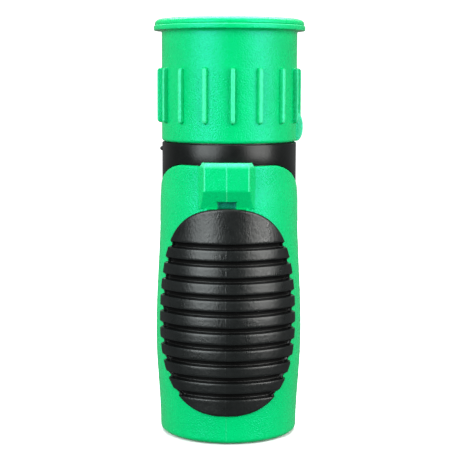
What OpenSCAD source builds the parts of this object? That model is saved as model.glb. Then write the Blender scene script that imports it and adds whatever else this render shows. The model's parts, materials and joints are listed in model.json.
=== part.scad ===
// Wasp trap: a twist-to-close funnel head that lifts out of a hand-sized catch vessel with rubber grips.
// Millimetres, +Z up, origin on the axis at the resting surface, front towards -Y.

/* [Body] */
// Outer radius of the catch vessel, which the shell, the collar and the cap fit around
vessel_r = 24.4; // [23.4:0.1:30]
// Wall of the catch vessel
vessel_wall = 2; // [1.4:0.1:2.4]
// Height of the vessel's floor above the surface it stands on
vessel_lift = 8; // [7:0.1:12]
// Height of the shell's top edge at the front and back
body_h = 107.8; // [88:0.1:135]
// How far the shell's top edge falls at its two sides
edge_drop = 9.7; // [7:0.1:12]
// Wall of the shell at its top edge
shell_wall = 2.2; // [2:0.1:3]
// Thickness of the shell's floor
shell_floor = 4; // [3.4:0.1:4.6]
// How much the shell widens just below its top edge
shell_taper = 0.4; // [0:0.05:0.8]
// How far the belly swells beyond the straight stretch
belly = 1.8; // [0.6:0.05:3]
// Height of the fullest part of the belly
belly_z = 40; // [32:1:48]
// Rounding of the shell's bottom edge
base_round = 1.8; // [0.8:0.1:2.4]

/* [Hood] */
// Width of the hood's flat face
hood_w = 17.7; // [14:0.1:20]
// Extra width of the hood's flank on each side, where it meets the shell
hood_flank = 1.5; // [1:0.05:3]
// Height of the hood's flat face
hood_h = 10.6; // [8:0.1:12]
// Height of the hood's top above the shell's top edge
hood_rise = 1.4; // [0.4:0.1:2]
// How far the hood's face stands out from the shell's top edge
hood_out = 2.6; // [1.6:0.1:3.4]
// Height of the ramp under the hood
ramp_h = 6.8; // [5:0.1:8]
// Width of the hook pocket at the foot of the ramp
pocket_w = 7; // [5:0.1:10]
// Height of the hook pocket
pocket_h = 2.5; // [1.5:0.1:3]

/* [Grips] */
// Height of the grips' lowest edge
grip_base = 11.5; // [8:0.1:16]
// Width of the window in the shell that a grip sits in
window_w = 49.8; // [44:0.1:51]
// How far the grip's ribs lap over the window's edge at each side
grip_lap = 2.2; // [1:0.1:2.4]
// How far the ribs stand out of the shell
rib_out = 1.25; // [0.6:0.05:2]
// How deep the grooves go below the shell's surface
groove_in = 0.9; // [0.3:0.1:1]
// Distance from one groove to the next
groove_pitch = 6.4; // [5:0.1:8]
// Height of a groove
groove_h = 2; // [1.4:0.1:3.4]
// Plain stretch of grip above the highest groove
grip_head = 12.6; // [10:0.1:18]
// Plain stretch of grip below the lowest groove
grip_foot = 7; // [5:0.1:10]

/* [Cap] */
// Height of the collar that shows between the shell and the cap
collar_h = 8.4; // [5:0.1:10]
// Wall of the collar
collar_wall = 2.1; // [1.6:0.1:2.4]
// Height of the cap's skirt
cap_h = 43; // [35:0.1:51]
// Wall of the cap's skirt
cap_wall = 1.8; // [1.4:0.1:2.6]
// Thickness of the flange at the top of the skirt
flange_t = 1.9; // [1.4:0.1:3]
// How far the flange stands out of the skirt
flange_out = 3.1; // [2.4:0.1:4]
// Height of the crown above the flange
crown_h = 2.6; // [2:0.1:5]
// Width of the rounding at the crown's outer edge
crown_round = 3; // [1.5:0.1:4]
// Number of finger ribs around the skirt
rib_count = 16; // [8:1:24]
// Width of a finger rib
rib_w = 1.7; // [1:0.1:2.5]
// Length of a finger rib
rib_h = 21.5; // [12:0.1:24]
// Height of the finger ribs' lower ends above the skirt's lower edge
rib_lift = 7.2; // [5:0.1:9]
// How far the finger ribs stand out of the skirt
rib_rise = 1.8; // [0.8:0.1:2.4]
// Width of the turning tab
tab_w = 7.2; // [5:0.1:10]
// Height of the turning tab
tab_h = 11.3; // [8:0.1:14]
// How far the tab stands out of the skirt
tab_out = 2.6; // [1.6:0.1:2.8]
// Turn of the cap from open to closed, in degrees
turn = 173; // [90:1:175]

/* [Funnel] */
// Depth of the funnel from the crown's top to its floor
funnel_depth = 13.6; // [11:0.1:16]
// Width of the rim round the funnel's mouth
rim_w = 6.5; // [6.1:0.1:9]
// How far inside the plug's bore the funnel's flat floor ends
floor_inset = 2.7; // [1.6:0.1:3]
// Thickness of the funnel's floor and of the throat plate
plate_t = 2; // [1.6:0.1:3]
// Radius of the entry hole that wasps go through
entry_r = 5; // [4:0.1:5.2]
// Radius of the snout's lower end
snout_r = 4; // [3:0.1:4.5]
// Length of the snout under the throat plate
snout_h = 26; // [15:0.5:35]
// Wall of the snout
snout_wall = 1.1; // [0.8:0.1:1.4]
// Depth of the plug that goes into the vessel's neck
plug_h = 12; // [9:0.1:16]
// Wall of the plug
plug_wall = 2.5; // [2.2:0.1:2.8]
// Section diameter of the neck seal
seal_d = 2; // [1.6:0.1:2.2]

/* [Bait basket] */
// Outer radius of the bait basket
basket_r = 7; // [5:0.1:7.2]
// Wall of the bait basket
basket_wall = 1.2; // [0.8:0.1:1.6]
// Length of the bait basket under the throat plate
basket_h = 37; // [25:0.5:45]
// Number of scent slots around the basket
slot_count = 6; // [4:1:8]
// Width of a scent slot
slot_w = 2; // [1:0.1:2.4]
// Height of the bait pad
pad_h = 12; // [6:0.5:16]

/* [Fasteners and clearances] */
// Radius of the screws' threads
screw_r = 1.5; // [1:0.1:1.6]
// Height that the foot ring lifts the shell off the surface
foot_lift = 0.4; // [0.2:0.1:1]
// Radius of the circle that the base screws lie on
base_screw_circle = 13; // [8:0.5:14]
// Radial gap of a part that turns or slides on another
turn_gap = 0.4; // [0.3:0.05:0.6]
// Radial gap of a part that is nested and fastened in another
nest_gap = 0.3; // [0.1:0.05:0.5]
// Gap of a bonded or pressed joint
bond_gap = 0.05; // [0.02:0.01:0.1]
// Radial running clearance of the turning hub
hub_gap = 0.05; // [0.02:0.01:0.1]

/* [Hidden] */
$fn = 96;
eps = 0.01;
far = 60;

shell_bore_r = vessel_r + nest_gap;
shell_top_r = shell_bore_r + shell_wall;
edge_z = body_h - edge_drop;
floor_z = foot_lift + shell_floor;
recess_r = shell_top_r - 0.8;
foot_in = 18.5;
foot_out = 22;
foot_h = 1.7;
screw_head_h = 1.6;
base_head_r = 2.7;
base_recess_r = 3;
head_seat_z = floor_z - 2;
boss_r = 3.5;
vessel_floor = 2;
screw_bite = 0.5;
taper_h = 10;
taper_z = body_h - 6.4;

hood_top = body_h + hood_rise;
hood_face_z = hood_top - hood_h;
ramp_z = hood_face_z - ramp_h;
hood_y = shell_top_r + hood_out;
hood_bevel = 1.6;
hood_root_y = shell_bore_r - 4;
ramp_y = shell_bore_r + 1.2;
pocket_y = shell_bore_r + 0.6;

grip_top = ramp_z;
window_h = grip_top - grip_base;
window_z = (grip_top + grip_base) / 2;
groove_low = grip_base + grip_foot;
groove_high = grip_top - grip_head;
groove_count = 1 + floor((groove_high - groove_low - groove_h + eps) / groove_pitch);

collar_r = vessel_r + collar_wall;
edge_gap = 0.4;
skirt_z = body_h + collar_h;
collar_top = skirt_z - nest_gap;
pin_z = collar_top - 2.7;
pin_r = 0.6;
pin_head_r = 0.9;

cap_bore_r = vessel_r + turn_gap;
cap_r = cap_bore_r + cap_wall;
flange_z = skirt_z + cap_h;
flange_top = flange_z + flange_t;
flange_r = cap_r + flange_out;
crown_top = flange_top + crown_h;
crown_r = flange_r - 0.4;
crown_wall_h = 0.8;
mouth_r = crown_r - rim_w;
mouth_round = 0.8;
skirt_round = 1.2;
flange_fillet = 1;
flange_edge = 0.3;
first_rib = -85.5;
tab_angle = 9;
pin_angle = tab_angle + turn;

dish_floor_top = crown_top - funnel_depth;
dish_floor_z = dish_floor_top - plate_t;
plate_top = dish_floor_z - turn_gap;
neck_z = plate_top - plate_t;
plug_r = vessel_r - vessel_wall - nest_gap;
plug_bore_r = plug_r - plug_wall;
floor_r = plug_bore_r - floor_inset;
seal_z = neck_z - 7;
snout_top_r = entry_r + snout_wall + 0.7;
throat_y = -(plug_bore_r - snout_top_r - 1.8);
basket_lid_r = basket_r + 0.6;
basket_y = plug_bore_r - basket_lid_r - 1.5;
basket_z = neck_z - basket_h;
basket_bore_r = basket_r - basket_wall;
slot_end = 5.5;
lid_t = 2.5;
lid_plug_h = 3;
hub_r = 3;
hub_top = dish_floor_top + 0.1;
washer_t = 0.8;
washer_r = 4.6;
pivot_head_r = 2.8;
nut_r = 3.1;
nut_h = 2.4;
slip_t = turn_gap - 0.05;
slip_r = plug_bore_r - 2.8;
stop_r = plug_bore_r;
stop_half = 5;
stop_angle = 60;
key_w = 4;
key_h = 3;

green = [0, 0.85, 0.47];
black = [0.07, 0.08, 0.08];
smoke = [0.16, 0.18, 0.18];
steel = [0.75, 0.76, 0.78];
white = [0.92, 0.92, 0.9];
bait = [0.85, 0.62, 0.25];

// The shell's outer radius at height z: a straight top, a short taper, then the belly.
function ease(t) = t <= 0 ? 0 : t >= 1 ? 1 : (1 - cos(180 * t)) / 2;
function swell(z) = z > belly_z
    ? 1 - ease((z - belly_z) / (grip_top - belly_z))
    : 1 - ease((belly_z - z) / belly_z);
function shell_r(z) = shell_top_r + shell_taper * ease((taper_z - z) / taper_h) + belly * swell(z);
function shell_line(low, high, off, steps) =
    [for (i = [0:steps]) let (z = low + (high - low) * i / steps) [shell_r(z) + off, z]];
function arc(cx, cy, rx, ry, from, to, steps) =
    [for (i = [0:steps]) let (a = from + (to - from) * i / steps) [cx + rx * cos(a), cy + ry * sin(a)]];
function oval(half_w, half_h, n) = [for (i = [0:59]) let (a = 6 * i, c = cos(a), s = sin(a))
    [half_w * sign(c) * pow(abs(c), 2 / n), half_h * sign(s) * pow(abs(s), 2 / n)]];

module ring(r_in, r_out, low, high) {
    translate([0, 0, low])
        difference() {
            cylinder(r = r_out, h = high - low);
            translate([0, 0, -1]) cylinder(r = r_in, h = high - low + 2);
        }
}

// What lies below the shell's top edge: flat at the front and back, rounded down at the sides.
module below_edge(gap) {
    side = shell_r(edge_z) + 0.2 - edge_drop;
    round_r = edge_drop + gap;
    rotate([90, 0, 0]) linear_extrude(height = 2 * far, center = true)
        polygon(concat([[-far, -1], [far, -1], [far, edge_z + gap * 0.5]],
            [[side + round_r, edge_z + gap * 0.5]],
            arc(side, edge_z, round_r, round_r, 9, 90, 9),
            arc(-side, edge_z, round_r, round_r, 90, 171, 9),
            [[-side - round_r, edge_z + gap * 0.5], [-far, edge_z + gap * 0.5]]));
}

// The grip's oval outline, as a prism that reaches out through the front.
module grip_prism(extra_w, extra_h) {
    translate([0, 0, window_z]) rotate([90, 0, 0])
        linear_extrude(height = far) polygon(oval(window_w / 2 + extra_w, window_h / 2 + extra_h, 2.3));
}

module hood_block() {
    half = hood_w / 2;
    intersection() {
        translate([0, 0, ramp_z]) linear_extrude(height = hood_top - ramp_z)
            polygon([[-half, -hood_y], [half, -hood_y], [half + hood_flank, -shell_top_r + 0.6],
                [half + hood_flank, -hood_root_y], [-half - hood_flank, -hood_root_y],
                [-half - hood_flank, -shell_top_r + 0.6]]);
        rotate([90, 0, 90]) linear_extrude(height = far, center = true)
            polygon([[-hood_y, hood_face_z], [-hood_y, hood_top - hood_bevel],
                [-hood_y + hood_bevel, hood_top], [-hood_root_y, hood_top],
                [-hood_root_y, ramp_z], [-ramp_y, ramp_z]]);
    }
}

module hood_cut() {
    rotate([90, 0, 90]) linear_extrude(height = hood_w, center = true)
        polygon([[-hood_y, hood_face_z], [-ramp_y, ramp_z], [-far, ramp_z], [-far, hood_face_z]]);
    translate([-pocket_w / 2, -ramp_y - 5, ramp_z]) cube([pocket_w, ramp_y + 5 - pocket_y, pocket_h]);
}

module both_sides() {
    children();
    rotate([0, 0, 180]) children();
}

module at_base_screws() {
    for (a = [30, 150, 270]) rotate([0, 0, a]) translate([base_screw_circle, 0, 0]) children();
}

module screw(length, head_r) {
    difference() {
        union() {
            cylinder(r = screw_r, h = length);
            translate([0, 0, length]) cylinder(r = head_r, h = screw_head_h);
        }
        translate([0, 0, length + screw_head_h / 2]) cylinder(r = head_r * 0.55, h = screw_head_h, $fn = 6);
    }
}

module outer_shell() {
    color(green) difference() {
        union() {
            intersection() {
                rotate_extrude() polygon(concat([[0, foot_lift]],
                    arc(shell_r(base_round) - base_round, foot_lift + base_round, base_round, base_round,
                        -90, 0, 4),
                    shell_line(foot_lift + base_round + 1, body_h, 0, 26),
                    [[0, body_h]]));
                below_edge(0);
            }
            both_sides() hood_block();
        }
        translate([0, 0, floor_z]) cylinder(r = shell_bore_r, h = far * 3);
        translate([0, 0, body_h]) cylinder(r = collar_r + nest_gap, h = far);
        both_sides() {
            intersection() {
                grip_prism(0, 0);
                ring(recess_r, far, 0, body_h);
            }
            hood_cut();
        }
        ring(foot_in - bond_gap, foot_out + bond_gap, 0, foot_h + bond_gap);
        at_base_screws() {
            translate([0, 0, -1]) cylinder(r = base_recess_r, h = 1 + head_seat_z);
            cylinder(r = screw_r + bond_gap, h = floor_z + 1);
        }
    }
}

module catch_vessel() {
    color(smoke) difference() {
        union() {
            translate([0, 0, vessel_lift]) cylinder(r = vessel_r, h = neck_z - vessel_lift);
            at_base_screws() translate([0, 0, floor_z]) cylinder(r = boss_r, h = vessel_lift - floor_z + eps);
        }
        translate([0, 0, vessel_lift + vessel_floor]) cylinder(r = vessel_r - vessel_wall, h = far * 3);
        at_base_screws() cylinder(r = screw_r + bond_gap, h = vessel_lift + 1);
        translate([vessel_r - 4, -key_w / 2, neck_z - key_h]) cube([6, key_w, key_h + 1]);
    }
}

module neck_collar() {
    color(black) difference() {
        ring(vessel_r + bond_gap, collar_r, edge_z, collar_top);
        below_edge(edge_gap);
        pin_place() translate([0, 0, -3]) cylinder(r = pin_r + bond_gap, h = 6);
    }
}

module pin_place() {
    rotate([0, 0, pin_angle]) translate([collar_r, 0, pin_z]) rotate([0, 90, 0]) children();
}

module index_pin() {
    color(black) pin_place() {
        translate([0, 0, -collar_wall + 2 * bond_gap]) cylinder(r = pin_r, h = collar_wall);
        cylinder(r1 = pin_head_r, r2 = pin_head_r / 2, h = pin_head_r);
    }
}

module grip() {
    color(black) difference() {
        union() {
            intersection() {
                rotate_extrude() polygon(concat(
                    [[recess_r + bond_gap, grip_top], [recess_r + bond_gap, grip_base]],
                    shell_line(grip_base, grip_top, rib_out, 20)));
                grip_prism(-bond_gap, -bond_gap);
            }
            intersection() {
                rotate_extrude() polygon(concat(shell_line(grip_top, grip_base, bond_gap, 20),
                    shell_line(grip_base, grip_top, rib_out, 20)));
                grip_prism(grip_lap, -bond_gap);
            }
        }
        for (i = [0:groove_count - 1]) let (z = groove_low + i * groove_pitch)
            rotate_extrude() polygon([[shell_r(z) - groove_in, z], [far, z], [far, z + groove_h],
                [shell_r(z + groove_h) - groove_in, z + groove_h]]);
    }
}

module front_grip() {
    grip();
}

module rear_grip() {
    rotate([0, 0, 180]) grip();
}

module foot_ring() {
    color(black) ring(foot_in, foot_out, 0, foot_h);
}

module base_screws() {
    color(steel) at_base_screws() translate([0, 0, vessel_lift + screw_bite]) rotate([180, 0, 0])
        screw(vessel_lift + screw_bite - head_seat_z, base_head_r);
}

module cap_ring() {
    color(green) {
        rotate_extrude() polygon(concat([[cap_bore_r, skirt_z]],
            arc(cap_r - skirt_round, skirt_z + skirt_round, skirt_round, skirt_round, -90, 0, 4),
            arc(cap_r + flange_fillet, flange_z - flange_fillet, flange_fillet, flange_fillet, 180, 90, 4),
            arc(flange_r - 0.6, flange_z + 0.6, 0.6, 0.6, -90, 0, 3),
            arc(flange_r - flange_edge, flange_top - flange_edge, flange_edge, flange_edge, 0, 90, 3),
            [[cap_bore_r, flange_top]]));
        for (i = [0:rib_count - 1]) rotate([0, 0, first_rib + i * 360 / rib_count]) finger_rib();
        rotate([0, 0, tab_angle]) turning_tab();
    }
}

module finger_rib() {
    low = skirt_z + rib_lift;
    half = rib_w / 2;
    translate([cap_r - 0.6, 0, 0]) rotate([90, 0, 90]) linear_extrude(height = rib_rise + 0.6)
        polygon(concat(arc(0, low + half, half, half, 180, 360, 6),
            arc(0, low + rib_h - half, half, half, 0, 180, 6)));
}

module turning_tab() {
    translate([0, tab_w / 2, 0]) rotate([90, 0, 0]) linear_extrude(height = tab_w)
        polygon(concat([[cap_r - 0.8, skirt_z]],
            arc(cap_r, skirt_z + tab_h / 2, tab_out, tab_h / 2, -75, 75, 8),
            [[cap_r - 0.8, skirt_z + tab_h]]));
}

module crown_dish() {
    color(green) difference() {
        union() {
            rotate_extrude() polygon(concat([[hub_r, dish_floor_z], [floor_r + 0.6, dish_floor_z],
                [cap_bore_r - 0.6, flange_top - 1.8], [cap_bore_r - bond_gap, flange_top - 1.8],
                [cap_bore_r - bond_gap, flange_top], [crown_r, flange_top]],
                arc(crown_r - crown_round, flange_top + crown_wall_h,
                    crown_round, crown_h - crown_wall_h, 0, 90, 7),
                arc(mouth_r + mouth_round, crown_top - mouth_round, mouth_round, mouth_round, 90, 155, 4),
                [[floor_r, dish_floor_top], [hub_r, dish_floor_top]]));
            rotate([0, 0, stop_angle - stop_half]) rotate_extrude(angle = 2 * stop_half)
                translate([stop_r - 0.6, plate_top - 0.8]) square([1.2, 5]);
        }
        translate([0, throat_y, dish_floor_z - 1]) cylinder(r = entry_r, h = plate_t + 2);
    }
}

module throat_plate() {
    color(black) difference() {
        union() {
            translate([0, 0, neck_z]) cylinder(r = vessel_r, h = plate_t);
            ring(plug_bore_r, plug_r, neck_z - plug_h, neck_z + eps);
            translate([0, 0, neck_z]) cylinder(r = hub_r - hub_gap, h = hub_top - neck_z);
            translate([plug_r - 1, -key_w / 2 + nest_gap, neck_z - key_h + nest_gap])
                cube([vessel_r - plug_r + 0.7, key_w - 2 * nest_gap, key_h]);
        }
        ring(plug_r - seal_d + 0.1, far, seal_z - seal_d / 2 - 0.1, seal_z + seal_d / 2 + 0.1);
        translate([0, throat_y, neck_z - 1]) cylinder(r = entry_r, h = plate_t + 2);
        cylinder(r = screw_r + bond_gap, h = far * 4);
        rotate([0, 0, stop_angle - stop_half - 1]) rotate_extrude(angle = turn + 2 * stop_half + 2)
            translate([stop_r - 0.6 - nest_gap, plate_top - 1.1]) square([1.2 + 2 * nest_gap, 2]);
    }
}

module throat_snout() {
    color(smoke) translate([0, throat_y, neck_z]) rotate_extrude()
        polygon([[entry_r, 0], [entry_r, -1.2], [snout_r, -snout_h], [snout_r + snout_wall, -snout_h],
            [entry_r + snout_wall, -1.2], [snout_top_r, -1.2], [snout_top_r, 0]]);
}

module neck_seal() {
    color(black) translate([0, 0, seal_z]) rotate_extrude()
        translate([plug_r + 0.2 - seal_d / 2, 0]) circle(d = seal_d);
}

module slip_ring() {
    color(white) ring(slip_r - 0.5, slip_r + 0.5, plate_top, plate_top + slip_t);
}

module pivot_screw() {
    bottom = neck_z - nut_h - 1;
    color(steel) translate([0, 0, bottom]) screw(hub_top + washer_t - bottom, pivot_head_r);
}

module pivot_washer() {
    color(steel) ring(screw_r + bond_gap, washer_r, hub_top, hub_top + washer_t);
}

module pivot_nut() {
    color(steel) difference() {
        translate([0, 0, neck_z - nut_h]) cylinder(r = nut_r, h = nut_h, $fn = 6);
        translate([0, 0, neck_z - nut_h - 1]) cylinder(r = screw_r + bond_gap, h = nut_h + 2);
    }
}

module bait_basket() {
    color(smoke) translate([0, basket_y, 0]) difference() {
        ring(basket_bore_r, basket_r, basket_z, neck_z);
        for (i = [0:slot_count - 1]) rotate([0, 0, (i + 0.5) * 360 / slot_count])
            translate([0, -slot_w / 2, basket_z + slot_end])
                cube([basket_r + 1, slot_w, basket_h - 2 * slot_end]);
    }
}

module basket_lid() {
    color(green) translate([0, basket_y, 0]) {
        translate([0, 0, basket_z - lid_t]) cylinder(r = basket_lid_r, h = lid_t);
        translate([0, 0, basket_z - eps]) cylinder(r = basket_bore_r - nest_gap, h = lid_plug_h);
    }
}

module bait_pad() {
    color(bait) translate([0, basket_y, basket_z + lid_plug_h - eps])
        cylinder(r = basket_bore_r - turn_gap, h = pad_h);
}

outer_shell();
catch_vessel();
neck_collar();
index_pin();
front_grip();
rear_grip();
foot_ring();
base_screws();
cap_ring();
crown_dish();
throat_plate();
throat_snout();
neck_seal();
slip_ring();
pivot_screw();
pivot_washer();
pivot_nut();
bait_basket();
basket_lid();
bait_pad();
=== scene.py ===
"""Looks for the wasp trap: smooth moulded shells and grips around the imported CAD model.

Lengths are in millimetres until a mesh is made, and metres from there on.
"""

import json
import math

import bpy
import bmesh
import numpy as np
from mathutils import Euler, Matrix, Vector


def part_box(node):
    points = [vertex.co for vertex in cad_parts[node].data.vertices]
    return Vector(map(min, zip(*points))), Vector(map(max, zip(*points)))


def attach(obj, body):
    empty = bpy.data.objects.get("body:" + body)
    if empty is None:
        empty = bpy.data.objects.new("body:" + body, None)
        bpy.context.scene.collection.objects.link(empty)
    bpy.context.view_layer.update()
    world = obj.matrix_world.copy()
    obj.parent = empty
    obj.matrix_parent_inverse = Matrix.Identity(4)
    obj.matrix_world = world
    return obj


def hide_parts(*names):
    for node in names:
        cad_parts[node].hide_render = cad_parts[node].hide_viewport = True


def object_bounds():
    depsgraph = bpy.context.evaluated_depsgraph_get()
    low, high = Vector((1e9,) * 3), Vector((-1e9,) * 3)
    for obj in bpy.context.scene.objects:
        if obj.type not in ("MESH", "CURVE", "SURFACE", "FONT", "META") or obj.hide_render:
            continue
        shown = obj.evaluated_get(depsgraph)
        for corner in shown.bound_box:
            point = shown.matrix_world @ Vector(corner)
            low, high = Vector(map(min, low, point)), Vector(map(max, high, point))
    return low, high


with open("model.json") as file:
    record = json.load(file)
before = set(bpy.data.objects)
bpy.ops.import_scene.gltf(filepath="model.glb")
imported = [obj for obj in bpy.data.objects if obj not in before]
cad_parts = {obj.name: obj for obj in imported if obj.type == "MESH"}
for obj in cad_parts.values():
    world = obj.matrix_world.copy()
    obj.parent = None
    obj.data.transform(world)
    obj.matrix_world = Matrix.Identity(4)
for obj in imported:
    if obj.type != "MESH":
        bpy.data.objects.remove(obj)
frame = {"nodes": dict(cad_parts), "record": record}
cad_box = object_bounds()

MM = 0.001


# ---- Sizes: from the CAD pieces' boxes, and the shape of what they hold ----

def node_box(name):
    low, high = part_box(name)
    return [c / MM for c in low], [c / MM for c in high]


shell_high = node_box("outer_shell")[1]
cap_low, cap_high = node_box("cap_ring")
crown_high = node_box("crown_dish")[1]
collar_high = node_box("neck_collar")[1]
grip_low, grip_high = node_box("front_grip")
vessel_high = node_box("catch_vessel")[1]
pin_low, pin_high = node_box("index_pin")

VESSEL_R = vessel_high[0]
BORE_GAP = 0.3
SHELL_WALL = 2.2
SHELL_BORE_R = VESSEL_R + BORE_GAP
SHELL_TOP_R = SHELL_BORE_R + SHELL_WALL
SHELL_TAPER = 0.4
TAPER_DROP = 6.4
TAPER_H = 10
BELLY = 1.8
BELLY_Z = 40
BASE_ROUND = 1.8
SHELL_FLOOR = 4
BASE_R = 22.6
BASE_Z = 0.4
FOOT_IN_R, FOOT_OUT_R = 18.4, 22.1
FOOT_SEAT_Z = 1.8
SCREW_DEG = (30, 150, 270)
SCREW_RING_R = 13
SCREW_RECESS_R = 3.0
SCREW_RECESS_TOP = 2.4
HOOD_TOP = shell_high[2]
HOOD_RISE = 1.4
HOOD_H = 10.6
HOOD_OUT = 2.6
RAMP_H = 6.8
BODY_H = HOOD_TOP - HOOD_RISE
EDGE_DROP = 9.7
EDGE_Z = BODY_H - EDGE_DROP
HOOD_FACE_Z = HOOD_TOP - HOOD_H
RAMP_Z = HOOD_FACE_Z - RAMP_H
HOOD_Y = SHELL_TOP_R + HOOD_OUT
HOOD_HALF = 8.4
HOOD_FLANK = 1.5
HOOD_FOOT = HOOD_HALF + HOOD_FLANK
LIP = 1.0
HOOD_LIP = 2.0
RAMP_WALL = 1.2
RAMP_Y = SHELL_BORE_R + RAMP_WALL
POCKET_HALF = 3.5
POCKET_H = 2.5
POCKET_WALL = 0.6
POCKET_Y = SHELL_BORE_R + POCKET_WALL
POCKET_SILL = 0.1

GRIP_BASE, GRIP_TOP = grip_low[2], grip_high[2]
GRIP_MID = (GRIP_BASE + GRIP_TOP) / 2
GRIP_HALF = (GRIP_TOP - GRIP_BASE) / 2
RECESS_DEPTH = 0.8
RECESS_R = SHELL_TOP_R - RECESS_DEPTH
BOND_GAP = 0.1
WINDOW_DEG = 59.5
LAP_DEG = 3.2
OVAL = 2.4
RIB_OUT = 1.25
GROOVE_DEEP = 1.5
GROOVE_PITCH = 6.4
GROOVE_H = 2.0
GRIP_FOOT = 7
GROOVE_LOW = GRIP_BASE + GRIP_FOOT
GROOVE_COUNT = 10

COLLAR_R = collar_high[0]
SKIRT_Z, FLANGE_TOP = cap_low[2], cap_high[2]
FLANGE_R = cap_high[1]
CAP_GAP = 0.4
CAP_WALL = 1.8
FLANGE_H = 1.9
CAP_BORE_R = VESSEL_R + CAP_GAP
CAP_R = CAP_BORE_R + CAP_WALL
FLANGE_Z = FLANGE_TOP - FLANGE_H
RIB_COUNT = 16
FIRST_RIB = -85.5
RIB_HALF = 0.85
RIB_RISE = 1.8
RIB_END = 1.6
RIB_DOME = 0.3
RIB_LIFT = 7.2
RIB_H = 21.5
RIB_LOW = SKIRT_Z + RIB_LIFT
RIB_HIGH = RIB_LOW + RIB_H
TAB_DEG = 9
TAB_HALF = 3.6
TAB_H = 11.3
TAB_OUT = 2.6
TURN_DEG = 173
PIN_R = 0.9
PARTING_HALF = 0.15
PARTING_RISE = 0.16

CROWN_TOP = crown_high[2]
CROWN_R = crown_high[1]
DISH_DEPTH = 13.6
DISH_FLOOR_H = 2
DISH_FLOOR_TOP = CROWN_TOP - DISH_DEPTH
DISH_FLOOR_Z = DISH_FLOOR_TOP - DISH_FLOOR_H
MOUTH_R = 22.8
FLOOR_R = 16.9
ENTRY_R = 5
ENTRY_Y = -11


# ---- Shape helpers ----

def ease(t):
    t = np.clip(t, 0, 1)
    return (1 - np.cos(np.pi * t)) / 2


def shell_r(z):
    """The shell's outer radius: a straight top, a short taper, then the belly."""
    above = (z - BELLY_Z) / (GRIP_TOP - BELLY_Z)
    below = (BELLY_Z - z) / BELLY_Z
    swell = 1 - ease(np.where(z > BELLY_Z, above, below))
    return SHELL_TOP_R + SHELL_TAPER * ease((BODY_H - TAPER_DROP - z) / TAPER_H) + BELLY * swell


def soft_max(a, b, k):
    return (a + b + np.sqrt((a - b) ** 2 + k * k)) / 2


def soft_min(a, b, k):
    return (a + b - np.sqrt((a - b) ** 2 + k * k)) / 2


def ridge(offset, half, rise):
    """A fine rounded ridge at offset 0, such as a mould's parting line."""
    return rise * np.exp(-((offset / half) ** 2))


def arc(cx, cy, rx, ry, start, end, steps):
    angles = np.radians(np.linspace(start, end, steps + 1))
    return [(cx + rx * math.cos(a), cy + ry * math.sin(a)) for a in angles]


def spread(stops, step):
    """Values from the first stop to the last that hit every stop, about step apart."""
    values = [stops[0]]
    for low, high in zip(stops, stops[1:]):
        count = max(1, math.ceil((high - low) / step))
        values += [low + (high - low) * i / count for i in range(1, count + 1)]
    return values


def wrapped(degrees):
    return (degrees + 180) % 360 - 180


def grid_object(name, points, wrap_rows, **marks):
    """A mesh from points[row][column], where columns always wrap round, with marks from 0 to 1."""
    rows, columns = points.shape[:2]
    index = np.arange(rows * columns).reshape(rows, columns)
    below = index if wrap_rows else index[:-1]
    above = np.roll(index, -1, axis=0) if wrap_rows else index[1:]
    quads = np.stack([below, np.roll(below, -1, axis=1), np.roll(above, -1, axis=1), above], axis=-1)
    mesh = bpy.data.meshes.new(name)
    mesh.from_pydata((points.reshape(-1, 3) * MM).tolist(), [], quads.reshape(-1, 4).tolist())
    for mark, values in marks.items():
        attribute = mesh.attributes.new(mark, "FLOAT", "POINT")
        shares = np.broadcast_to(values, (rows, columns)).astype(np.float32)
        attribute.data.foreach_set("value", shares.ravel())
    return finished(name, mesh)


def added(name, data):
    """A new object in the scene."""
    piece = bpy.data.objects.new(name, data)
    bpy.context.scene.collection.objects.link(piece)
    return piece


def finished(name, mesh):
    work = bmesh.new()
    work.from_mesh(mesh)
    bmesh.ops.remove_doubles(work, verts=work.verts, dist=1e-6)
    bmesh.ops.recalc_face_normals(work, faces=work.faces)
    work.to_mesh(mesh)
    work.free()
    mesh.shade_smooth()
    return added(name, mesh)


def lathe(name, profile, degrees, closed=True):
    """A profile of (r, z) turned about the axis, with columns at the given angles."""
    angle = np.radians(np.array(degrees))
    r = np.array([p[0] for p in profile])[:, None]
    z = np.array([p[1] for p in profile])[:, None]
    points = np.stack([r * np.cos(angle), r * np.sin(angle), z + 0 * angle], axis=-1)
    return grid_object(name, points, closed)


def sharpen(piece, degrees):
    """Marks edges sharper than this angle, so that smooth shading stops there."""
    piece.data.set_sharp_from_angle(angle=math.radians(degrees))


def place(piece, body, slot, material, *nodes):
    piece.data.materials.clear()
    piece.data.materials.append(material)
    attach(piece, body)
    if nodes:
        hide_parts(*nodes)
    return piece


def cut(piece, cutter):
    """Takes the cutter out of the piece and removes the cutter."""
    boolean = piece.modifiers.new("cut", "BOOLEAN")
    boolean.operation = "DIFFERENCE"
    boolean.object = cutter
    boolean.solver = "EXACT"
    apply_modifiers(piece)
    bpy.data.objects.remove(cutter)


def apply_modifiers(piece):
    graph = bpy.context.evaluated_depsgraph_get()
    mesh = bpy.data.meshes.new_from_object(piece.evaluated_get(graph))
    piece.modifiers.clear()
    piece.data = mesh


# ---- Materials ----

# Roughness where the mesh marks painted shade in a recess.
PAINTED_SHADE_ROUGHNESS = 0.4
NOISE_LOW, NOISE_HIGH = 0.3, 0.7


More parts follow.
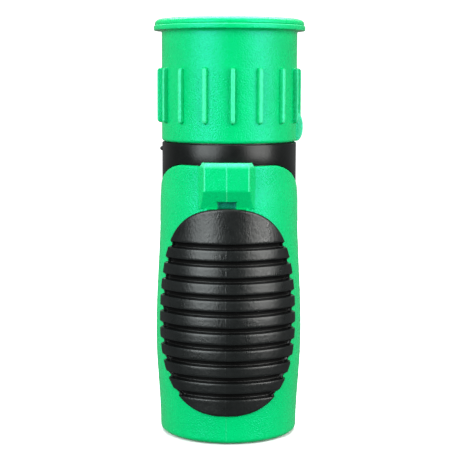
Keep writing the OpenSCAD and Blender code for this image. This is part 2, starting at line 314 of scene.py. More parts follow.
class Surface:
    """A Principled material with small helpers for procedural detail.

    Its colours are the darkest and the lightest plain tone and the tone of a painted highlight on edges
    and ridges, and the last argument is a painted shade tone for recesses. Bump depths are metres, and a
    noise's scale is per metre.
    """

    def __init__(self, name, roughness, colours, grime=None):
        self.material = bpy.data.materials.new(name)
        self.material.use_nodes = True
        self.nodes = self.material.node_tree.nodes
        self.links = self.material.node_tree.links
        self.shader = self.nodes["Principled BSDF"]
        self.place = self.nodes.new("ShaderNodeTexCoord").outputs["Object"]
        dark, light, edge_highlight = colours
        # A lighter painted highlight, in patches, where the mesh marks one.
        tone = self.painted_highlight(self.ramp_of(self.noise(60, 3), dark, light), edge_highlight)
        rough = self.range_of(self.noise(220, 4), roughness[0], roughness[1])
        # Painted shade in recesses: a darker tone and a set roughness where the mesh marks one.
        if grime:
            tone = self.mixed("RGBA", self.attribute("grime"), tone, (*grime, 1))
            rough = self.mixed("FLOAT", self.attribute("grime"), rough, PAINTED_SHADE_ROUGHNESS)
        self.links.new(tone, self.shader.inputs["Base Color"])
        self.links.new(rough, self.shader.inputs["Roughness"])
        self.bumps = None

    def noise(self, scale, detail, stretch=(1, 1, 1)):
        mapping = self.nodes.new("ShaderNodeMapping")
        mapping.inputs["Scale"].default_value = stretch
        self.links.new(self.place, mapping.inputs["Vector"])
        noise = self.nodes.new("ShaderNodeTexNoise")
        noise.inputs["Scale"].default_value = scale
        noise.inputs["Detail"].default_value = detail
        self.links.new(mapping.outputs["Vector"], noise.inputs["Vector"])
        return noise.outputs["Fac"]

    def ramp_of(self, value, dark, light):
        ramp = self.nodes.new("ShaderNodeValToRGB")
        ramp.color_ramp.elements[0].position = NOISE_LOW
        ramp.color_ramp.elements[1].position = NOISE_HIGH
        ramp.color_ramp.elements[0].color = (*dark, 1)
        ramp.color_ramp.elements[1].color = (*light, 1)
        self.links.new(value, ramp.inputs["Fac"])
        return ramp.outputs["Color"]

    def painted_highlight(self, colour, light):
        """Fades the colour to a lighter one in random patches where the mesh marks a painted highlight."""
        patchy = self.range_of(self.noise(700, 3), 0.65, 1.0)
        share = self.nodes.new("ShaderNodeMath")
        share.operation = "MULTIPLY"
        self.links.new(self.attribute("wear"), share.inputs[0])
        self.links.new(patchy, share.inputs[1])
        return self.mixed("RGBA", share.outputs["Value"], colour, (*light, 1))

    def attribute(self, name):
        """A value from 0 to 1 that the mesh holds at each point, or 0 where it holds none."""
        node = self.nodes.new("ShaderNodeAttribute")
        node.attribute_name = name
        return node.outputs["Fac"]

    def mixed(self, kind, share, value, other):
        """The linked value, and the constant other where share is 1."""
        mix = self.nodes.new("ShaderNodeMix")
        mix.data_type = kind
        sockets = {socket.name: socket for socket in mix.inputs if socket.enabled}
        self.links.new(share, sockets["Factor"])
        self.links.new(value, sockets["A"])
        sockets["B"].default_value = other
        return next(socket for socket in mix.outputs if socket.enabled)

    def range_of(self, value, low, high):
        node = self.nodes.new("ShaderNodeMapRange")
        limits = {"From Min": NOISE_LOW, "From Max": NOISE_HIGH, "To Min": low, "To Max": high}
        for socket, limit in limits.items():
            node.inputs[socket].default_value = limit
        self.links.new(value, node.inputs["Value"])
        return node.outputs["Result"]

    def bump(self, value, depth):
        node = self.nodes.new("ShaderNodeBump")
        node.inputs["Strength"].default_value = 1
        node.inputs["Distance"].default_value = depth
        self.links.new(value, node.inputs["Height"])
        if self.bumps:
            self.links.new(self.bumps, node.inputs["Normal"])
        self.bumps = node.outputs["Normal"]
        self.links.new(self.bumps, self.shader.inputs["Normal"])

    def set(self, name, value):
        self.shader.inputs[name].default_value = value


def green_plastic():
    # The third colour is a painted highlight tone; the last is a painted shade tone for the hood's pocket.
    colours = ((0.0, 0.445, 0.122), (0.0, 0.485, 0.138), (0.085, 0.7, 0.37))
    surface = Surface("green_plastic", (0.24, 0.32), colours, (0, 0.13, 0.05))
    surface.bump(surface.noise(1700, 2), 0.00017)
    surface.bump(surface.noise(420, 3), 0.00006)
    surface.set("Specular IOR Level", 0.68)
    surface.set("Specular Tint", (0.1, 0.43, 0.85, 1))
    return surface.material


def black_rubber():
    # The third colour is a painted highlight tone for the ribs' upper edges; the last is a painted shade
    # tone for the groove floors.
    colours = ((0.001, 0.0015, 0.0014), (0.002, 0.0028, 0.0026), (0.012, 0.015, 0.015))
    surface = Surface("black_rubber", (0.26, 0.34), colours, (0.0003, 0.0004, 0.0004))
    surface.bump(surface.noise(1500, 2, (1, 1, 0.5)), 0.000085)
    surface.bump(surface.noise(600, 2), 0.00003)
    surface.set("Specular IOR Level", 0.5)
    return surface.material


def black_plastic():
    colours = ((0.001, 0.0016, 0.0014), (0.002, 0.0028, 0.0026), (0.012, 0.015, 0.015))
    surface = Surface("black_plastic", (0.28, 0.36), colours)
    surface.bump(surface.noise(1600, 2), 0.00003)
    surface.set("Specular IOR Level", 0.36)
    return surface.material


def smoke_plastic():
    colours = ((0.02, 0.024, 0.024), (0.03, 0.034, 0.034), (0.06, 0.065, 0.065))
    surface = Surface("smoke_plastic", (0.3, 0.4), colours)
    surface.bump(surface.noise(900, 2), 0.00003)
    return surface.material


def slip_plastic():
    colours = ((0.72, 0.72, 0.68), (0.8, 0.8, 0.77), (0.85, 0.85, 0.83))
    surface = Surface("slip_plastic", (0.3, 0.42), colours)
    surface.bump(surface.noise(900, 2, (1, 1, 0.2)), 0.00002)
    return surface.material


def zinc_steel():
    colours = ((0.42, 0.44, 0.47), (0.6, 0.6, 0.61), (0.7, 0.7, 0.7))
    surface = Surface("zinc_steel", (0.25, 0.42), colours)
    surface.set("Metallic", 1.0)
    surface.bump(surface.noise(2500, 2, (1, 1, 0.15)), 0.00002)
    return surface.material


def bait_felt():
    colours = ((0.42, 0.24, 0.05), (0.62, 0.4, 0.12), (0.7, 0.5, 0.2))
    surface = Surface("bait_felt", (0.85, 0.95), colours)
    surface.bump(surface.noise(2600, 4), 0.0002)
    surface.set("Sheen Weight", 0.4)
    return surface.material


# ---- The shell ----

EDGE_R = float(shell_r(np.array(EDGE_Z)))


def edge_height(x):
    """Height of the shell's top edge where the surface is x from the middle of the front or back."""
    side = EDGE_R - EDGE_DROP
    fall = np.clip(np.abs(x) - side, 0, EDGE_DROP)
    plain = EDGE_Z + np.sqrt(np.maximum(EDGE_DROP**2 - fall**2, 0))
    flank = (HOOD_FOOT + 0.5 - np.abs(x)) / 1.2
    return plain + HOOD_RISE * ease(flank)


def front_angle(degrees):
    """Angle from the middle of the front or of the back, whichever is nearer, in degrees."""
    from_front = wrapped(degrees + 90)
    return np.where(np.abs(from_front) <= 90, from_front, wrapped(from_front - 180))


def hood_radius(angle, z, base):
    """The shell's radius with the hood and its ramp, at an angle from the middle."""
    cos, sin = np.cos(angle), np.abs(np.sin(angle))
    slope = (z - RAMP_Z) / (HOOD_FACE_Z - RAMP_Z)
    front_y = np.where(slope < 1, RAMP_Y + (HOOD_Y - RAMP_Y) * slope, HOOD_Y)
    front = front_y / np.maximum(cos, 0.2)
    # The flank's line runs from the face's edge to the shell's surface.
    drop = HOOD_Y - (SHELL_TOP_R - 0.6)
    flank = (drop * HOOD_HALF + HOOD_FLANK * HOOD_Y) / (drop * sin + HOOD_FLANK * cos)
    across = sin * SHELL_TOP_R
    raised = soft_max(base, soft_min(front, flank, 0.3), 0.35)
    sunk = raised + (front - raised) * ease((HOOD_HALF + 0.6 - across) / 1.7)
    shaped = np.where(slope < 1, sunk, raised)
    return np.where((across < HOOD_FOOT + 3) & (slope > -0.001), shaped, base)


def window_edge(angle_deg, z, half_deg):
    """How far inside the grip's oval a point lies, in millimetres, negative outside."""
    a = np.radians(half_deg) * (SHELL_TOP_R + BELLY)
    x = np.abs(np.radians(angle_deg)) * (SHELL_TOP_R + BELLY) + 1e-6
    y = np.abs(z - GRIP_MID) + 1e-6
    level = ((x / a) ** OVAL + (y / GRIP_HALF) ** OVAL) ** (1 / OVAL)
    slope_x = x ** (OVAL - 1) / a**OVAL * level ** (1 - OVAL)
    slope_y = y ** (OVAL - 1) / GRIP_HALF**OVAL * level ** (1 - OVAL)
    return (1 - level) / np.sqrt(slope_x**2 + slope_y**2)


def shell_columns():
    """The shell's column angles: finest over the parting line, the pocket and the hood's flanks."""
    half = [0, 0.08, 0.16, 0.24, 0.35, 0.5, 0.9, 1.4]
    half += spread([2, POCKET_HALF - 0.15, POCKET_HALF + 0.15, HOOD_HALF - 1.1], 0.45)
    half += spread([HOOD_HALF - 0.95, HOOD_FOOT + 1.5], 0.15)
    half += spread([HOOD_FOOT + 1.9, 33], 0.45)
    half = [math.degrees(across / (SHELL_TOP_R + BELLY)) for across in half]
    half += spread([half[-1], 90], 2.0)[1:]
    front = [-d for d in half[::-1]] + half[1:]
    return [d - 90 for d in front[:-1]] + [d + 90 for d in front[:-1]]


def build_shell():
    """The green barrel, from its foot up the outside, over the edge and down the bore."""
    degrees = np.array(shell_columns())
    flat = np.zeros(len(degrees))
    off_deg = front_angle(degrees)
    off = np.radians(off_deg)
    low_rows = spread([BASE_ROUND + BASE_Z, GRIP_BASE - 1, GRIP_TOP - 0.2], 0.85)
    high_rows = spread([RAMP_Z, RAMP_Z + 0.2, RAMP_Z + POCKET_H - 0.1, RAMP_Z + POCKET_H + 0.15,
        HOOD_FACE_Z - 0.12, HOOD_FACE_Z + 0.12, HOOD_TOP - LIP], 0.6)
    high_rows += [HOOD_TOP - LIP * share for share in (0.85, 0.7, 0.55, 0.4, 0.27, 0.15, 0.06)] + [HOOD_TOP]
    rows = []
    bottom_r = float(shell_r(np.array(BASE_ROUND))) - BASE_ROUND
    for r, z in arc(bottom_r, BASE_ROUND + BASE_Z, BASE_ROUND, BASE_ROUND, -90, -8, 7):
        rows.append((r + flat, z + flat))
    for row in low_rows:
        z = row + flat
        r = shell_r(z)
        inside = window_edge(off_deg, z, WINDOW_DEG) - 0.25
        rows.append((r + (RECESS_R - r) * ease(inside / 0.3), z))
    edge = edge_height(EDGE_R * np.sin(off))
    wear = [flat] * len(rows)
    grime = [flat] * len(rows)
    for row in high_rows:
        share = (row - RAMP_Z) / (HOOD_TOP - RAMP_Z)
        z = RAMP_Z + share * (edge - RAMP_Z)
        r = hood_radius(off, z, shell_r(z))
        across = np.abs(np.sin(off)) * SHELL_TOP_R
        pocket = ease((POCKET_HALF + 0.1 - across) / 0.25) * (row < RAMP_Z + POCKET_H)
        r = r + (POCKET_Y / np.cos(off) - r) * pocket * (row > RAMP_Z + POCKET_SILL)
        on_hood = ease((HOOD_FOOT + 0.45 - across) / 1.0)
        lip = LIP + (HOOD_LIP - LIP) * on_hood
        near = np.clip(1 - (edge - z) / lip, 0, 1)
        r = r - lip * (0.4 + 0.4 * on_hood) * (1 - np.sqrt(1 - near**2))
        # Painted highlight along the hood face's side edges and over its rounded top band.
        hood_highlight = ridge(r * np.abs(np.sin(off)) - HOOD_HALF, 0.2, 1.0) * (z > HOOD_FACE_Z)
        hood_highlight = hood_highlight + on_hood * ease(near * 2) * (near < 0.97)
        rows.append((r, z))
        wear.append(np.minimum(hood_highlight, 1))
        # Painted shade in the pocket.
        grime.append(pocket)
    inner = np.where(edge > BODY_H + 0.05, COLLAR_R + 0.35, SHELL_BORE_R)
    outer_r = rows[-1][0]
    for share in (0.25, 0.6, 1.0):
        rows.append((outer_r + (inner + 0.3 - outer_r) * share, edge))
    rows.append((inner, edge - 0.3))
    rows.append((SHELL_BORE_R + flat, np.minimum(edge - 1.5, BODY_H - 0.2)))
    floor_z = SHELL_FLOOR + BASE_Z
    for r, z in ((SHELL_BORE_R, EDGE_Z - 3), (SHELL_BORE_R, floor_z), (BASE_R, floor_z), (BASE_R, BASE_Z)):
        rows.append((r + flat, z + flat))
    angle = np.radians(degrees)
    arc_off = off * SHELL_TOP_R
    points = []
    wear += [flat] * (len(rows) - len(wear))
    grime += [flat] * (len(rows) - len(grime))
    for i, (r, z) in enumerate(rows):
        line = ridge(arc_off, PARTING_HALF, PARTING_RISE) * (r > RECESS_R + 0.2) * (z < BODY_H + 1)
        # Painted highlight along the parting line, stronger above the ramp's foot.
        wear[i] = np.maximum(wear[i], line / PARTING_RISE * np.where(z > RAMP_Z, 0.6, 0.12))
        points.append(np.stack([(r + line) * np.cos(angle), (r + line) * np.sin(angle), z], axis=-1))
    piece = grid_object("shell_skin", np.array(points), True, wear=np.array(wear), grime=np.array(grime))
    sharpen(piece, 50)
    return piece


def build_shell_base():
    """The shell's floor, with the foot ring's groove and the screw recesses."""
    rim_r, floor_z = BASE_R + 0.1, SHELL_FLOOR + BASE_Z
    profile = [(0.0, BASE_Z), (FOOT_IN_R, BASE_Z), (FOOT_IN_R, FOOT_SEAT_Z), (FOOT_OUT_R, FOOT_SEAT_Z),
        (FOOT_OUT_R, BASE_Z), (rim_r, BASE_Z), (rim_r, floor_z), (0.0, floor_z)]
    piece = lathe("shell_base", profile, spread([0, 357], 3), closed=False)
    for degrees in SCREW_DEG:
        a = math.radians(degrees)
        cutter = rod("cutter", SCREW_RECESS_R, -1, SCREW_RECESS_TOP)
        cutter.location = (SCREW_RING_R * math.cos(a) * MM, SCREW_RING_R * math.sin(a) * MM, 0)
        cut(piece, cutter)
    sharpen(piece, 30)
    return piece


def rod(name, radius, low, high, segments=48):
    step = 360 / segments
    profile = [(0.0, low), (radius, low), (radius, high), (0.0, high)]
    return lathe(name, profile, spread([0, 360 - step], step), closed=False)


# ---- The grips ----

def rib_mask(z):
    """1 on a rib and 0 in a groove, with soft edges."""
    mask = np.ones_like(z)
    for i in range(GROOVE_COUNT):
        centre = GROOVE_LOW + i * GROOVE_PITCH + GROOVE_H / 2
        inside = (GROOVE_H / 2 - np.abs(z - centre)) / 0.7
        mask = np.minimum(mask, 1 - ease(inside + 0.25))
    return mask


def rib_profile(z):
    """Height across the ribs: 0 in the foot of a groove, whose floor slopes up, and 1 on a rib."""
    height = np.ones_like(z)
    for i in range(GROOVE_COUNT):
        centre = GROOVE_LOW + i * GROOVE_PITCH + GROOVE_H / 2
        share = (z - centre) / (GROOVE_H / 2 + 0.25)
        wall = np.minimum(np.abs(share), 1) ** np.where(share < 0, 8, 3.4)
        floor = 0.2 * (share + 1)
        shoulder = np.clip(1 - (np.abs(share) - 1) * 1.4, 0, 1)
        inside = floor + (0.96 - floor) * wall
        height = np.minimum(height, np.where(np.abs(share) < 1, inside, 1 - 0.04 * shoulder**2))
    return height


def build_grip(name, turn):
    """An oval grip, turned so many degrees from the front, with rows close together at its grooves."""
    rows = spread([GRIP_BASE, GRIP_BASE + 0.25], 0.05)
    rows += spread([GRIP_BASE + 0.4, GROOVE_LOW - 1.2], 0.35)
    for i in range(GROOVE_COUNT):
        low = GROOVE_LOW + i * GROOVE_PITCH
        high = low + GROOVE_H
        next_low = low + GROOVE_PITCH if i < GROOVE_COUNT - 1 else high + 2.4
        rows += spread([low - 1.0, low - 0.3, low + 0.4], 0.12)
        rows += spread([low + 0.7, high - 0.7], 0.35)
        rows += spread([high - 0.4, high + 0.3, high + 1.0], 0.12)
        rows += [v for v in spread([high + 1.2, next_low - 1.2], 0.4) if v < next_low - 1.1]
    rows += spread([rows[-1] + 0.4, GRIP_TOP - 0.4], 0.4)
    rows += spread([GRIP_TOP - 0.25, GRIP_TOP], 0.05)
    z = np.array(sorted(rows))[:, None]
    near_middle = [0, 0.005, 0.01, 0.018, 0.03]
    half = np.array(near_middle + spread([0.06, 0.88], 0.03) + spread([0.89, 1.0], 0.0055))
    u = np.concatenate([-half[::-1], half[1:]])[None, :]
    mask = rib_mask(z)
    width = (1 - np.minimum(np.abs(z - GRIP_MID) / GRIP_HALF, 1) ** OVAL) ** (1 / OVAL)
    off_deg = (WINDOW_DEG + LAP_DEG * mask) * width * u
    rib_in = window_edge(off_deg, z + 0 * u, WINDOW_DEG + LAP_DEG)
    groove_in = window_edge(off_deg, z + 0 * u, WINDOW_DEG)
    shoulder = 0.9
    near = np.clip(rib_in / shoulder, 0, 1)
    rib_top = RIB_OUT - shoulder * (1 - np.sqrt(1 - (1 - near) ** 2))
    depth = np.minimum(GROOVE_DEEP, shell_r(z) - RECESS_R - 0.15)
    floor = 0.04 - (depth + 0.04) * ease((groove_in - 0.4) / 0.5)
    rise = rib_profile(z)
    height = floor + (rib_top - floor) * rise
    line = ridge(np.radians(off_deg) * SHELL_TOP_R, PARTING_HALF, PARTING_RISE * 0.3) * rise
    line = line * (z < GROOVE_LOW + (GROOVE_COUNT - 1) * GROOVE_PITCH)
    surface = shell_r(z) + height + line
    edge = surface[:, :1] * 0 + RECESS_R + BOND_GAP
    outer = np.concatenate([edge, surface, edge], axis=1)
    outer_deg = np.concatenate([off_deg[:, :1], off_deg, off_deg[:, -1:]], axis=1)
    inner_deg = off_deg[:, ::-8]
    radius = np.concatenate([outer, 0 * inner_deg + RECESS_R + BOND_GAP], axis=1)
    angle = np.radians(np.concatenate([outer_deg, inner_deg], axis=1) - 90 + turn)
    points = np.stack([radius * np.cos(angle), radius * np.sin(angle), z + 0 * angle], axis=-1)
    # Painted highlight along each rib's upper edge; painted shade where the rubber lies below the shell's
    # surface, in the groove floors.
    edge_highlight = np.where(radius > shell_r(z) + 0.6, ridge(rise - 0.9, 0.12, 0.5), 0)
    groove_shade = ease((shell_r(z) + 0.1 - radius) / 0.6)
    piece = grid_object(name, points, False, wear=edge_highlight, grime=groove_shade)
    sharpen(piece, 60)
    return piece


# ---- The collar, the cap and the crown ----

def build_collar():
    """The black band, whose lower edge follows the shell's upper edge."""
    degrees = np.array(spread([0, 358.5], 1.5))
    off = np.radians(front_angle(degrees))
    low = np.minimum(edge_height(EDGE_R * np.sin(off)), BODY_H) + 0.35
    angle = np.radians(degrees)
    high = 0 * low + collar_high[2]
    profile = [(VESSEL_R + 0.05, low), (COLLAR_R - 0.3, low), (COLLAR_R - 0.08, low + 0.08),
        (COLLAR_R, low + 0.3), (COLLAR_R, (low + high) / 2), (COLLAR_R, high - 0.4),
        (COLLAR_R - 0.12, high - 0.1), (COLLAR_R - 0.4, high), (VESSEL_R + 0.05, high)]
    rows = [np.stack([r * np.cos(angle), r * np.sin(angle), z], axis=-1) for r, z in profile]
    piece = grid_object("collar_band", np.array(rows), True)
    sharpen(piece, 50)
    return piece


def build_pin():
    """The rounded nub on the collar, on its own small stem."""
    profile = [(0.0, -1.9), (0.6, -1.9), (0.6, 0.0), (PIN_R, 0.0)] + arc(0, 0.0, PIN_R, PIN_R, 12, 90, 8)
    piece = lathe("index_nub", profile, spread([0, 345], 15), closed=False)
    angle = math.radians(TAB_DEG + TURN_DEG)
    piece.data.transform(Vector((1, 0, 0)).to_track_quat("Z", "Y").to_matrix().to_4x4())
    turn = Vector((math.cos(angle), math.sin(angle), 0)).to_track_quat("X", "Z").to_matrix().to_4x4()
    piece.data.transform(turn)
    pin_z = (pin_low[2] + pin_high[2]) / 2
    piece.location = (COLLAR_R * math.cos(angle) * MM, COLLAR_R * math.sin(angle) * MM, pin_z * MM)
    return piece


def cap_columns():
    """The cap's column angles: finest at the ribs' and the tab's edges."""
    sector = 360 / RIB_COUNT
    per_mm = math.degrees(1 / CAP_R)
    offsets = [0, 0.16, 0.32, 0.48, 0.62, 0.7, 0.735, 0.85, 0.9, 1.1, 1.4]
    near = [s * per_mm for s in offsets]
    half = near + spread([near[-1], sector / 2], 1.5)[1:]
    columns = []
    for i in range(RIB_COUNT):
        centre = FIRST_RIB + i * sector
        columns += [centre - d for d in half[:-1][::-1]] + [centre + d for d in half[1:]]
    tab = [(TAB_HALF + s) * per_mm for s in (-0.8, -0.5, -0.3, -0.12, 0, 0.15)]
    columns += [TAB_DEG + d for d in tab] + [TAB_DEG - d for d in tab]
    columns += [TAB_DEG + d for d in np.linspace(-2, 2, 9)]
    clean = []
    for d in sorted(c % 360 for c in columns):
        if not clean or d - clean[-1] > 0.06:
            clean.append(d)
    return clean


def rib_height(off_mm, z):
    """Height of a finger rib: steep walls, a softly domed top and ends that curve down."""
    along = np.clip(z, RIB_LOW + RIB_HALF, RIB_HIGH - RIB_HALF)
    distance = np.sqrt(off_mm**2 + (z - along) ** 2) / RIB_HALF
    from_end = np.clip(np.minimum(z - RIB_LOW, RIB_HIGH - z) / RIB_END, 0, 1)
    top = RIB_RISE * (0.35 + 0.65 * np.sqrt(1 - (1 - from_end) ** 2)) - RIB_DOME * distance**2
    return top * np.clip((1 - distance) / 0.15, 0, 1)


def tab_height(off_mm, z):
    """Height of the D-shaped turning tab."""
    t = (z - SKIRT_Z - TAB_H / 2) / (TAB_H / 2)
    bulge = TAB_OUT * np.sqrt(np.clip(1 - np.abs(t) ** 2.2, 0, 1))
    edge = ease((TAB_HALF - np.abs(off_mm)) / 0.55)
    return bulge * edge


def build_cap():
    """The cap's skirt with its ribs and tab, and the flange above it."""
    degrees = np.array(cap_columns())
    ends = [RIB_LOW + s for s in (-0.15, 0.0, 0.1, 0.25, 0.45, 0.7, 1.0)]
    ends += [RIB_HIGH - s for s in (1.0, 0.7, 0.45, 0.25, 0.1, 0.0, -0.15)]
    tab_rows = list(SKIRT_Z + TAB_H / 2 * (1 - np.cos(np.linspace(0.35, np.pi, 18))))
    rows = sorted(set(round(v, 3) for v in spread([SKIRT_Z + 1.3, FLANGE_Z - 1.15], 1.2) + ends + tab_rows
        if SKIRT_Z + 1.25 < v < FLANGE_Z - 1.05))
    profile = [(CAP_BORE_R, SKIRT_Z + 0.3), (CAP_BORE_R + 0.3, SKIRT_Z)]
    profile += arc(CAP_R - 1.2, SKIRT_Z + 1.2, 1.2, 1.2, -90, 0, 6)
    profile += [(CAP_R, z) for z in rows]
    profile += arc(CAP_R + 1.0, FLANGE_Z - 1.0, 1.0, 1.0, 180, 90, 6)
    profile += arc(FLANGE_R - 0.4, FLANGE_Z + 0.4, 0.4, 0.4, -90, 0, 5)
    profile += arc(FLANGE_R - 0.32, FLANGE_TOP - 0.32, 0.32, 0.32, 0, 90, 5)
    profile += [(CROWN_R - 0.6, FLANGE_TOP), (CAP_BORE_R, FLANGE_TOP)]
    profile += [(CAP_BORE_R, z) for z in (FLANGE_TOP - 6, SKIRT_Z + 12)]
    angle = np.radians(degrees)
    points, wear = [], []
    for r, z in profile:
        radius = np.full(len(degrees), float(r))
        # Painted highlight along the flange's top edge.
        painted_highlight = np.full(len(degrees), ridge(z - FLANGE_TOP + 0.05, 0.14, 0.9) * (r > FLANGE_R - 0.5))
        if CAP_R - 1.15 < r < CAP_R + 0.05 and z < FLANGE_Z:
            for i in range(RIB_COUNT):
                off = np.radians(wrapped(degrees - FIRST_RIB - i * 360 / RIB_COUNT)) * CAP_R
                radius = np.maximum(radius, CAP_R + rib_height(off, z) - 1e-3)
            off = np.radians(wrapped(degrees - TAB_DEG)) * CAP_R
            lift = tab_height(off, z)
            # Painted highlight on the ribs' tops and along the tab's edges.
            painted_highlight = np.maximum(painted_highlight, 0.6 * ease((radius - CAP_R - 1.3) / 0.35))
            painted_highlight = np.maximum(painted_highlight, ridge(np.abs(off) - TAB_HALF + 0.35, 0.3, 0.8) * (lift > 0.3))
            radius = np.maximum(radius, np.where(lift > 0.02, CAP_R + lift, r))
            if r < CAP_R - 0.01:
                radius = np.where(lift > 0.02, radius, r)
        wear.append(painted_highlight)
        points.append(np.stack([radius * np.cos(angle), radius * np.sin(angle), z + 0 * angle], axis=-1))
    piece = grid_object("cap_skin", np.array(points), True, wear=np.array(wear))
    sharpen(piece, 55)
    return piece


def build_crown():
    """The low crown with the funnel's dish and its entry hole."""
    profile = [(3.0, DISH_FLOOR_Z), (FLOOR_R + 0.6, DISH_FLOOR_Z), (CAP_BORE_R - 0.6, FLANGE_TOP - 1.8),
        (CAP_BORE_R - 0.1, FLANGE_TOP - 1.8), (CAP_BORE_R - 0.1, FLANGE_TOP + 0.02),
        (CROWN_R - 0.3, FLANGE_TOP + 0.02), (CROWN_R - 0.3, FLANGE_TOP + 0.12), (CROWN_R, FLANGE_TOP + 0.4)]
    profile += arc(CROWN_R - 3.0, CROWN_TOP - 1.8, 3.0, 1.8, 0, 90, 12)
    profile += arc(MOUTH_R + 0.8, CROWN_TOP - 0.8, 0.8, 0.8, 90, 155, 5)
    profile += spread_line((MOUTH_R - 0.5, CROWN_TOP - 1.6), (FLOOR_R + 1.0, DISH_FLOOR_TOP + 1.2), 6)
    profile += arc(FLOOR_R - 0.7, DISH_FLOOR_TOP + 1.5, 1.6, 1.5, -20, -90, 6)
    profile += [(8.0, DISH_FLOOR_TOP), (3.0, DISH_FLOOR_TOP)]
    piece = lathe("crown_funnel", profile, spread([0, 357.5], 2.5))
    cutter = rod("cutter", ENTRY_R, DISH_FLOOR_Z - 2, DISH_FLOOR_TOP + 0.2)
    cutter.location = (0, ENTRY_Y * MM, 0)
    cut(piece, cutter)
    sharpen(piece, 40)
    return piece


def spread_line(start, end, steps):
    return [(start[0] + (end[0] - start[0]) * i / steps, start[1] + (end[1] - start[1]) * i / steps)
        for i in range(steps + 1)]


# ---- The stage ----

STAGE_R = 0.75


def build_stage():
    """A round white floor, and a world that is white to the camera and dim to everything else."""
    mesh = bpy.data.meshes.new("floor")
    rim = [(*point, 0) for point in arc(0, 0, STAGE_R, STAGE_R, 0, 360, 96)[:-1]]
    mesh.from_pydata(rim, [], [tuple(range(len(rim)))])
    floor = added("floor", mesh)
    material = bpy.data.materials.new("floor")
    material.use_nodes = True
    shader = material.node_tree.nodes["Principled BSDF"]
    shader.inputs["Base Color"].default_value = (0.93, 0.93, 0.93, 1)
    shader.inputs["Roughness"].default_value = 0.9
    floor.data.materials.append(material)
    floor.visible_glossy = False
    floor.visible_diffuse = False
    floor.visible_shadow = False
    world = bpy.data.worlds.new("studio")
    world.use_nodes = True
    nodes, links = world.node_tree.nodes, world.node_tree.links
    split = nodes.new("ShaderNodeSeparateXYZ")
    links.new(nodes.new("ShaderNodeTexCoord").outputs["Generated"], split.inputs["Vector"])
    depth = nodes.new("ShaderNodeMapRange")
    depth.interpolation_type = "SMOOTHSTEP"
    for socket, value in (("From Min", -0.3), ("From Max", 0.9), ("To Min", 0.15), ("To Max", 0.26)):
        depth.inputs[socket].default_value = value
    links.new(split.outputs["Y"], depth.inputs["Value"])
    around = nodes["Background"]
    around.inputs["Color"].default_value = (0.97, 1, 1, 1)
    links.new(depth.outputs["Result"], around.inputs["Strength"])
    behind = nodes.new("ShaderNodeBackground")
    behind.inputs["Color"].default_value = (1, 1, 1, 1)
    behind.inputs["Strength"].default_value = 1.3
    mix = nodes.new("ShaderNodeMixShader")
    links.new(nodes.new("ShaderNodeLightPath").outputs["Is Camera Ray"], mix.inputs["Fac"])
    links.new(around.outputs["Background"], mix.inputs[1])
    links.new(behind.outputs["Background"], mix.inputs[2])
    links.new(mix.outputs["Shader"], nodes["World Output"].inputs["Surface"])
    bpy.context.scene.world = world
    bpy.context.scene.view_settings.view_transform = "Standard"


def softbox(name, azimuth, height, distance, width, tall, watts, colour, mirrored=True):
    """A soft light at an azimuth from the front, aimed at the middle of the trap.

    Unless it is mirrored, it lights the trap without showing in its reflections.
    """
    light = bpy.data.lights.new(name, "AREA")
    light.shape = "RECTANGLE"
    light.size = width
    light.size_y = tall
    light.energy = watts
    light.color = colour
    piece = added(name, light)
    a = math.radians(azimuth)
    piece.location = (distance * math.sin(a), -distance * math.cos(a), height)
    piece.visible_glossy = mirrored
    piece.visible_camera = False
    aim = Vector((0, 0, cad_box[1][2] / 2)) - piece.location
    piece.rotation_euler = aim.to_track_quat("-Z", "Y").to_euler()


EYE_DISTANCE = 0.5
EYE_Z = 0.1405
EYE_AZIMUTH = 1.75
EYE_PITCH = 6.84
SENSOR = 36
LENS = 98.5
YAW = -0.0009
ROLL = 0.0035


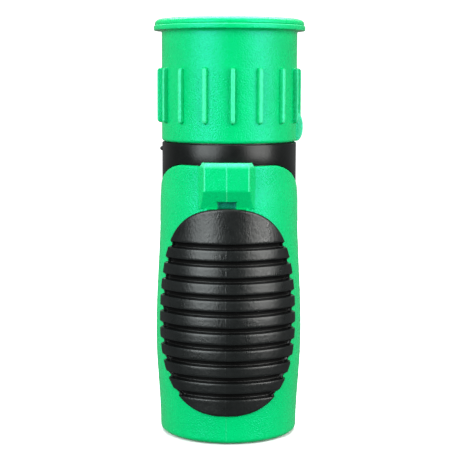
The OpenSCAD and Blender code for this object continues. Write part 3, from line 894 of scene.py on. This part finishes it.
def build_camera():
    """The eye is level with the middle of the cap and looks slightly down.

    Its angles are in degrees, apart from the yaw and the roll, which are small and in radians.
    """
    camera = bpy.data.cameras.new("camera")
    camera.sensor_width = SENSOR
    camera.lens = LENS
    piece = added("camera", camera)
    azimuth = math.radians(EYE_AZIMUTH)
    pitch = math.radians(EYE_PITCH)
    turn = Euler((math.pi / 2 - pitch, 0, azimuth + YAW)).to_matrix()
    piece.location = (EYE_DISTANCE * math.sin(azimuth), -EYE_DISTANCE * math.cos(azimuth), EYE_Z)
    piece.rotation_euler = (turn @ Matrix.Rotation(ROLL, 3, "Z")).to_euler()
    bpy.context.scene.camera = piece


# ---- Assembly ----

green = green_plastic()
rubber = black_rubber()
black = black_plastic()
smoke = smoke_plastic()

place(build_shell(), "vessel", "green_plastic", green, "outer_shell")
place(build_shell_base(), "vessel", "green_plastic", green)
place(build_grip("grip_front_ribs", 0), "vessel", "black_rubber", rubber, "front_grip")
place(build_grip("grip_rear_ribs", 180), "vessel", "black_rubber", rubber, "rear_grip")
place(build_collar(), "vessel", "black_plastic", black, "neck_collar")
place(build_pin(), "vessel", "black_plastic", black, "index_pin")
place(build_cap(), "cap", "green_plastic", green, "cap_ring")
place(build_crown(), "cap", "green_plastic", green, "crown_dish")

looks = {"green_plastic": green, "black_rubber": rubber, "black_plastic": black, "smoke_plastic": smoke,
    "slip_plastic": slip_plastic(), "steel": zinc_steel(), "bait_felt": bait_felt()}
slots = {part["node"]: part["material_slot"] for part in frame["record"]["subparts"]}
for name, node in frame["nodes"].items():
    node.data.materials.clear()
    node.data.materials.append(looks[slots[name]])
    node.data.shade_smooth()
    node.data.set_sharp_from_angle(angle=math.radians(35))

build_stage()
softbox("key_right", 54, 0.35, 0.9, 0.7, 0.9, 11, (1, 1, 0.97))
softbox("key_left", -37, 0.35, 0.9, 0.7, 0.9, 12.5, (0.93, 1, 1))
softbox("strip_right", 62, 0.045, 0.9, 0.03, 0.09, 0.27, (1, 1, 1))
softbox("overhead", 0, 1.3, 0.02, 0.8, 0.8, 16.5, (1, 1, 1))
softbox("top_back", 180, 0.8, 0.55, 0.9, 0.5, 9, (1, 1, 1))
softbox("fill_right", 95, 0.35, 0.9, 0.7, 0.9, 4, (1, 1, 1), False)
softbox("fill_left", -95, 0.35, 0.9, 0.7, 0.9, 5, (1, 1, 1), False)
softbox("fill_back", 180, 0.35, 0.9, 0.7, 0.9, 6, (1, 1, 1), False)
build_camera()
